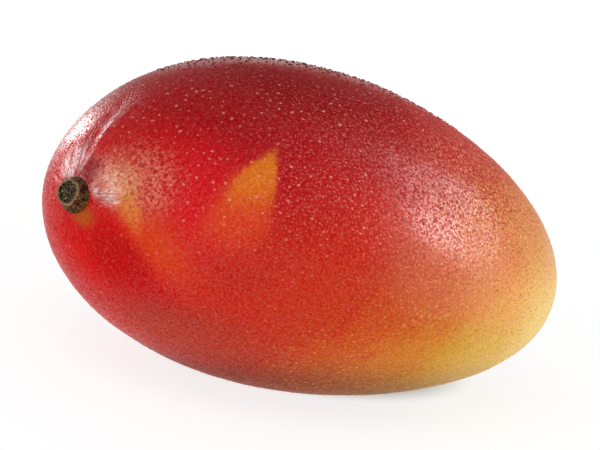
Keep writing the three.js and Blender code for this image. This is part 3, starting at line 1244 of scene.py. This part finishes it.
@dataclass
class Stalk:
    """The woody stub that is left of the stalk, snapped off and dry."""

    turn: float = 28.0           # its lean: degrees off the long axis, towards -y
    rise: float = 5.0            # degrees above it, in the fruit's own axes
    root_depth: float = 4.5 * MM
    sides: int = 72
    profile: tuple[Span, ...] = (            # radius and height of each ring, mm
        (2.3, -4.4), (2.4, -2.6), (2.4, -0.4), (3.6, -0.3), (4.5, -0.1), (4.6, 0.35),
        (4.3, 0.9), (3.7, 1.35), (3.25, 1.7), (3.15, 2.1), (3.3, 2.55), (3.4, 3.0),
        (3.3, 3.4), (3.05, 3.6), (2.75, 3.55), (2.5, 3.3), (2.35, 2.95), (1.7, 2.8),
        (0.9, 2.95))
    crack: float = 0.42          # depth of the fissures in the bark, mm
    cracks: float = 3.2          # how close together they lie round the stub
    crack_length: float = 0.35   # how fast they change up the stub
    lumps: float = 0.22          # height of the bark's lumps, mm
    bark_start: float = 0.6      # height on the stub at which all this is full, mm
    splinter: float = 0.40       # height of the torn fibres, mm
    raggedness: float = 0.35     # and of the rim's teeth
    start_of_rim: float = 3.2    # height on the stub, mm
    inner_radius: float = 2.75   # within which the end is torn, mm
    inner_floor: float = 2.0     # and above which height
    ring_height: float = 2.15    # where a pale ring lies, mm
    ring_half_width: float = 0.16
    lookout: Triple = (3.1, 5.7, 9.3)    # distances from here put the mesh in order

    def axis(self) -> Vector:
        """The way the stub points."""
        flat = math.cos(math.radians(self.rise))
        pointing = Vector((
            -flat * math.cos(math.radians(self.turn)),
            -flat * math.sin(math.radians(self.turn)),
            math.sin(math.radians(self.rise))))
        return Matrix.Rotation(math.radians(AXES.tilt), 3, "Y") @ pointing

    def seat(self) -> Vector:
        """Where the stalk's axis meets the skin, worked out from the solid's root."""
        places = rows_of(frame["nodes"]["stem"].data, "co")
        axis = np.array(self.axis())
        height = places @ axis
        root = places[height < height.min() + 0.01 * MM].mean(axis=0)
        return Vector(root) + self.axis() * self.root_depth

    def build(self) -> bpy.types.Object:
        """Draws the stub up from a circle, ring by ring, then roughens and places it.

        Returns:
            The stub, closed at its root and in its torn end.
        """
        deselect()
        radius, height = self.profile[0]
        bpy.ops.mesh.primitive_circle_add(
            vertices=self.sides, radius=radius, location=(0, 0, 0), fill_type="TRIFAN")
        piece = bpy.context.object
        piece.name = "stalk_stub"
        bpy.ops.object.mode_set(mode="EDIT")
        bpy.ops.mesh.select_all(action="SELECT")
        bpy.ops.transform.translate(value=(0, 0, height))
        bpy.ops.object.mode_set(mode="OBJECT")
        self._select_outline(piece.data)
        for (before, low), (after, high) in zip(self.profile, self.profile[1:]):
            bpy.ops.object.mode_set(mode="EDIT")
            bpy.ops.mesh.extrude_edges_move(
                TRANSFORM_OT_translate={"value": (0, 0, high - low)})
            bpy.ops.transform.resize(
                value=(after / before, after / before, 1), center_override=(0, 0, high))
            bpy.ops.object.mode_set(mode="OBJECT")
        bpy.ops.object.mode_set(mode="EDIT")
        bpy.ops.mesh.edge_face_add()
        bpy.ops.mesh.poke()
        bpy.ops.mesh.select_all(action="SELECT")
        bpy.ops.mesh.normals_make_consistent(inside=False)
        self._put_in_order()
        bpy.ops.object.mode_set(mode="OBJECT")
        rounded(piece, 1)
        self._roughen(piece.data)
        self._stand(piece.data)
        bpy.ops.object.shade_smooth()
        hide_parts("stem")
        return piece

    def _put_in_order(self) -> None:
        """Sorts corners, edges and faces by how far they lie from a place off the axis.

        Extruded faces come in an order that differs from run to run.
        """
        cursor = bpy.context.scene.cursor
        cursor.location = self.lookout
        bpy.ops.mesh.sort_elements(
            type="CURSOR_DISTANCE", elements={"VERT", "EDGE", "FACE"})
        cursor.location = (0, 0, 0)

    def _select_outline(self, mesh: bpy.types.Mesh) -> None:
        """Selects the edges round the first disc."""
        for vertex in mesh.vertices:
            vertex.select = math.hypot(vertex.co.x, vertex.co.y) > self.profile[0][0] / 2
        for edge in mesh.edges:
            edge.select = all(mesh.vertices[corner].select for corner in edge.vertices)
        for face in mesh.polygons:
            face.select = False

    def _roughen(self, mesh: bpy.types.Mesh) -> None:
        """Cuts fissures into the bark and tears the end."""
        places = rows_of(mesh, "co")
        radius = np.hypot(places[:, 0], places[:, 1])
        outward = places * [1, 1, 0] / np.maximum(radius, 1e-6)[:, None]
        around = np.column_stack(
            [outward[:, :2] * self.cracks, places[:, 2] * self.crack_length])
        fissure = noise_at(around, 0.55)
        lumps = self.lumps * noise_at(places, 2.2, 4.0)
        above = np.clip(places[:, 2] / self.bark_start, 0, 1)
        bark = above * (self.crack * (np.minimum(fissure, 0.15) - 0.15) + lumps)
        inside = (radius < self.inner_radius) & (places[:, 2] > self.inner_floor)
        rim = np.clip((places[:, 2] - self.start_of_rim) / 0.3, 0, 1) * ~inside
        fibre = noise_at(places, 0.55, 2.0) + 0.5 * noise_at(places, 0.28, 7.0)
        places += outward * (bark * ~inside)[:, None]
        places[:, 2] += self.splinter * fibre * inside
        places[:, 2] += self.raggedness * rim * noise_at(around, 0.4, 3.0)
        off_ring = (places[:, 2] - self.ring_height) / self.ring_half_width
        ring = np.exp(-off_ring ** 2) * ~inside
        put_values(mesh, "torn", inside.astype(float))
        put_values(mesh, "rim", np.maximum(rim, 0.7 * ring))
        # painted shade: how deep in a fissure each place lies
        put_values(mesh, "cleft", np.clip(-2.4 * fissure - 0.1, 0, 1) * ~inside * (1 - rim))
        put_places(mesh, places)

    def _stand(self, mesh: bpy.types.Mesh) -> None:
        """Turns the stub on to its axis and moves it to its seat, in metres."""
        turn = Vector((0, 0, 1)).rotation_difference(self.axis()).to_matrix()
        mesh.transform(Matrix.Translation(self.seat()) @ turn.to_4x4() @ Matrix.Scale(MM, 4))


# ---------------------------------------------------------------- light, floor and camera


class Lends(Enum):
    """What a light lends to the fruit."""

    ALL = (True, True)
    SHEEN = (False, True)
    GLOW = (True, False)


@dataclass(frozen=True)
class SoftBox:
    """A rectangular light that faces the fruit."""

    name: str
    azimuth: float               # degrees round the fruit, as camera azimuths are counted
    elevation: float
    distance: float
    width: float
    height: float
    radiance: float
    lends: Lends = Lends.ALL
    roll: float = 0.0            # degrees that it is turned about the way it faces

    def build(self, target: Vector) -> bpy.types.Object:
        """Hangs the light.

        Args:
            target: The place that it faces.

        Returns:
            The light.
        """
        towards = direction(self.azimuth, self.elevation)
        light = bpy.data.lights.new(self.name, "AREA")
        light.shape = "RECTANGLE"
        light.size = self.width
        light.size_y = self.height
        light.energy = self.radiance * math.pi * self.width * self.height
        made = bpy.data.objects.new(self.name, light)
        made.location = target + towards * self.distance
        made.rotation_mode = "QUATERNION"
        turned = Quaternion((0, 0, 1), math.radians(self.roll))
        made.rotation_quaternion = (-towards).to_track_quat("-Z", "Y") @ turned
        made.visible_camera = False
        made.visible_diffuse, made.visible_glossy = self.lends.value
        bpy.context.scene.collection.objects.link(made)
        return made


def direction(azimuth: float, elevation: float) -> Vector:
    """Unit vector towards a place seen from the fruit, azimuth 0 being -y and 90 being +x."""
    a, e = math.radians(azimuth), math.radians(elevation)
    return Vector((math.sin(a) * math.cos(e), -math.cos(a) * math.cos(e), math.sin(e)))


@dataclass
class Studio:
    """A pale floor, soft lights and the camera."""

    lights: tuple[SoftBox, ...] = (
        SoftBox("key", 58, 26, 0.66, 0.36, 0.32, 5.0, Lends.GLOW),
        SoftBox("window", 65, 30, 0.66, 0.58, 0.36, 9.6, Lends.SHEEN, 44),
        SoftBox("window_core", 53, 27, 0.60, 0.20, 0.16, 11.0, Lends.SHEEN, 50),
        SoftBox("side", -91, 11, 0.70, 0.34, 0.26, 8.0, Lends.SHEEN),
        SoftBox("rim", -158, 9.5, 0.63, 0.30, 0.10, 36.0, Lends.SHEEN, 31),
        SoftBox("back", -131, 6, 0.70, 0.26, 0.28, 8.4, Lends.SHEEN),
    )
    overhead: SoftBox = SoftBox("overhead", -48, 52, 1.00, 0.70, 0.70, 2.4)
    sky: float = 0.60            # brightness of the room
    backdrop: float = 1.1        # brightness that the camera sees behind everything
    floor_size: float = 6.0
    floor_white: float = 0.25    # share of the light that the floor sends on
    floor_glow: float = 0.82     # light that comes out of it beside the fruit: less than far off, painted shade round the fruit
    far_glow: float = 1.03       # and far off
    glow_rise: Span = (0.12, 0.7)            # between these distances, metres
    painted_shadow_centre: Triple = (0.017, 0.009, 0.0)
    dusk: Triple = (0.036, 0.019, 1.0)       # half the painted shadow below the fruit, where the floor glows less
    painted_shadow_edge: Span = (0.7, 1.4)             # times that half
    painted_shadow_glow: float = 0.15                  # share of the glow that is left in the painted shadow
    azimuth: float = -28.0
    elevation: float = 15.0
    roll: float = 14.0
    distance: float = 0.433
    lens: float = 100.0          # focal length, mm
    sensor: float = 36.0         # width, mm
    aside: float = 1.883 * MM    # how far the camera stands to the left of the fruit's middle
    above: float = 1.667 * MM

    def build(self) -> None:
        """Sets up the floor, the lights, the room and the camera."""
        target = Vector(AXES.centre)
        floor = self._floor()
        fruit_only = bpy.data.collections.new("lit_by_soft_boxes")
        floor_only = bpy.data.collections.new("lit_by_overhead")
        floor_only.objects.link(floor)
        for piece in bpy.context.scene.collection.all_objects:
            if piece.type == "MESH" and piece is not floor:
                fruit_only.objects.link(piece)
        for light in self.lights:
            light.build(target).light_linking.receiver_collection = fruit_only
        self.overhead.build(target).light_linking.receiver_collection = floor_only
        self._room()
        self._camera(target)
        bpy.context.scene.view_settings.view_transform = "Standard"

    def _room(self) -> None:
        """A dim room for reflections, with a white backdrop for the camera."""
        world = bpy.data.worlds.new("room")
        world.use_nodes = True
        tree = world.node_tree
        tree.nodes.clear()
        seen = tree.nodes.new("ShaderNodeLightPath")
        level = tree.nodes.new("ShaderNodeMapRange")
        level.inputs["To Min"].default_value = self.sky
        level.inputs["To Max"].default_value = self.backdrop
        tree.links.new(seen.outputs["Is Camera Ray"], level.inputs["Value"])
        background = tree.nodes.new("ShaderNodeBackground")
        tree.links.new(level.outputs[0], background.inputs["Strength"])
        ending = tree.nodes.new("ShaderNodeOutputWorld")
        tree.links.new(background.outputs[0], ending.inputs["Surface"])
        bpy.context.scene.world = world

    def _floor(self) -> bpy.types.Object:
        """Lays a white floor that is a little lit from below, more so far from the fruit, with a
        painted shadow below the fruit where it glows less.
        """
        deselect()
        bpy.ops.mesh.primitive_circle_add(
            vertices=96, radius=self.floor_size / 2, fill_type="NGON", location=(0, 0, 0))
        floor = bpy.context.object
        floor.name = "floor"
        shader = Shader("white_floor")
        away = shader.measure("LENGTH", shader.place())
        # painted shadow: the glow is less near the fruit than far off, and fades further in a soft
        # ellipse below the fruit
        below = shader.mapped(shader.place(), self.painted_shadow_centre, (0, 0, 0), self.dusk)
        glow = self.floor_glow + away.rise(*self.glow_rise) * (self.far_glow - self.floor_glow)
        lit = shader.measure("LENGTH", below).rise(*self.painted_shadow_edge)
        glow = glow * (self.painted_shadow_glow + (1 - self.painted_shadow_glow) * lit)
        white = self.floor_white
        shader.surface({
            "Base Color": (white, white, white, 1),
            "Roughness": 0.8,
            "Specular IOR Level": 0.1,
            "Emission Color": shader.mix(glow / self.far_glow, (0, 0, 0, 1), (1, 1, 1, 1)),
            "Emission Strength": self.far_glow,
        })
        floor.data.materials.append(shader.material)
        return floor

    def _camera(self, target: Vector) -> None:
        """Puts the camera where the fruit is seen from."""
        forward = -direction(self.azimuth, self.elevation)
        level = forward.cross(Vector((0, 0, 1))).normalized()
        upright = level.cross(forward)
        lean = math.radians(self.roll)
        right = level * math.cos(lean) + upright * math.sin(lean)
        up = upright * math.cos(lean) - level * math.sin(lean)
        data = bpy.data.cameras.new("camera")
        data.lens = self.lens
        data.sensor_width = self.sensor
        data.clip_start = 0.01
        data.clip_end = 20.0
        camera = bpy.data.objects.new("camera", data)
        place = target - forward * self.distance - right * self.aside + up * self.above
        facing = Matrix((right, up, -forward)).transposed()
        camera.matrix_world = Matrix.Translation(place) @ facing.to_4x4()
        bpy.context.scene.collection.objects.link(camera)
        bpy.context.scene.camera = camera


# ---------------------------------------------------------------- everything together


def main() -> None:
    """Builds the mango and the studio round it."""
    logging.basicConfig(level=logging.INFO, format="%(name)s: %(message)s")
    skin = Skin().build()
    dressed(skin, SkinFinish().build())
    log.info("skin: %d faces", len(skin.data.polygons))
    pore_material = PoreFinish().build()
    for pores in Pores(skin).build():
        dressed(pores, pore_material)
        log.info("%s: %d faces", pores.name, len(pores.data.polygons))
    stalk = Stalk().build()
    dressed(stalk, BarkFinish().build())
    log.info("stalk: %d faces", len(stalk.data.polygons))
    Studio().build()
    log.info("studio: floor, lights and camera")


if __name__ == "__main__":
    main()
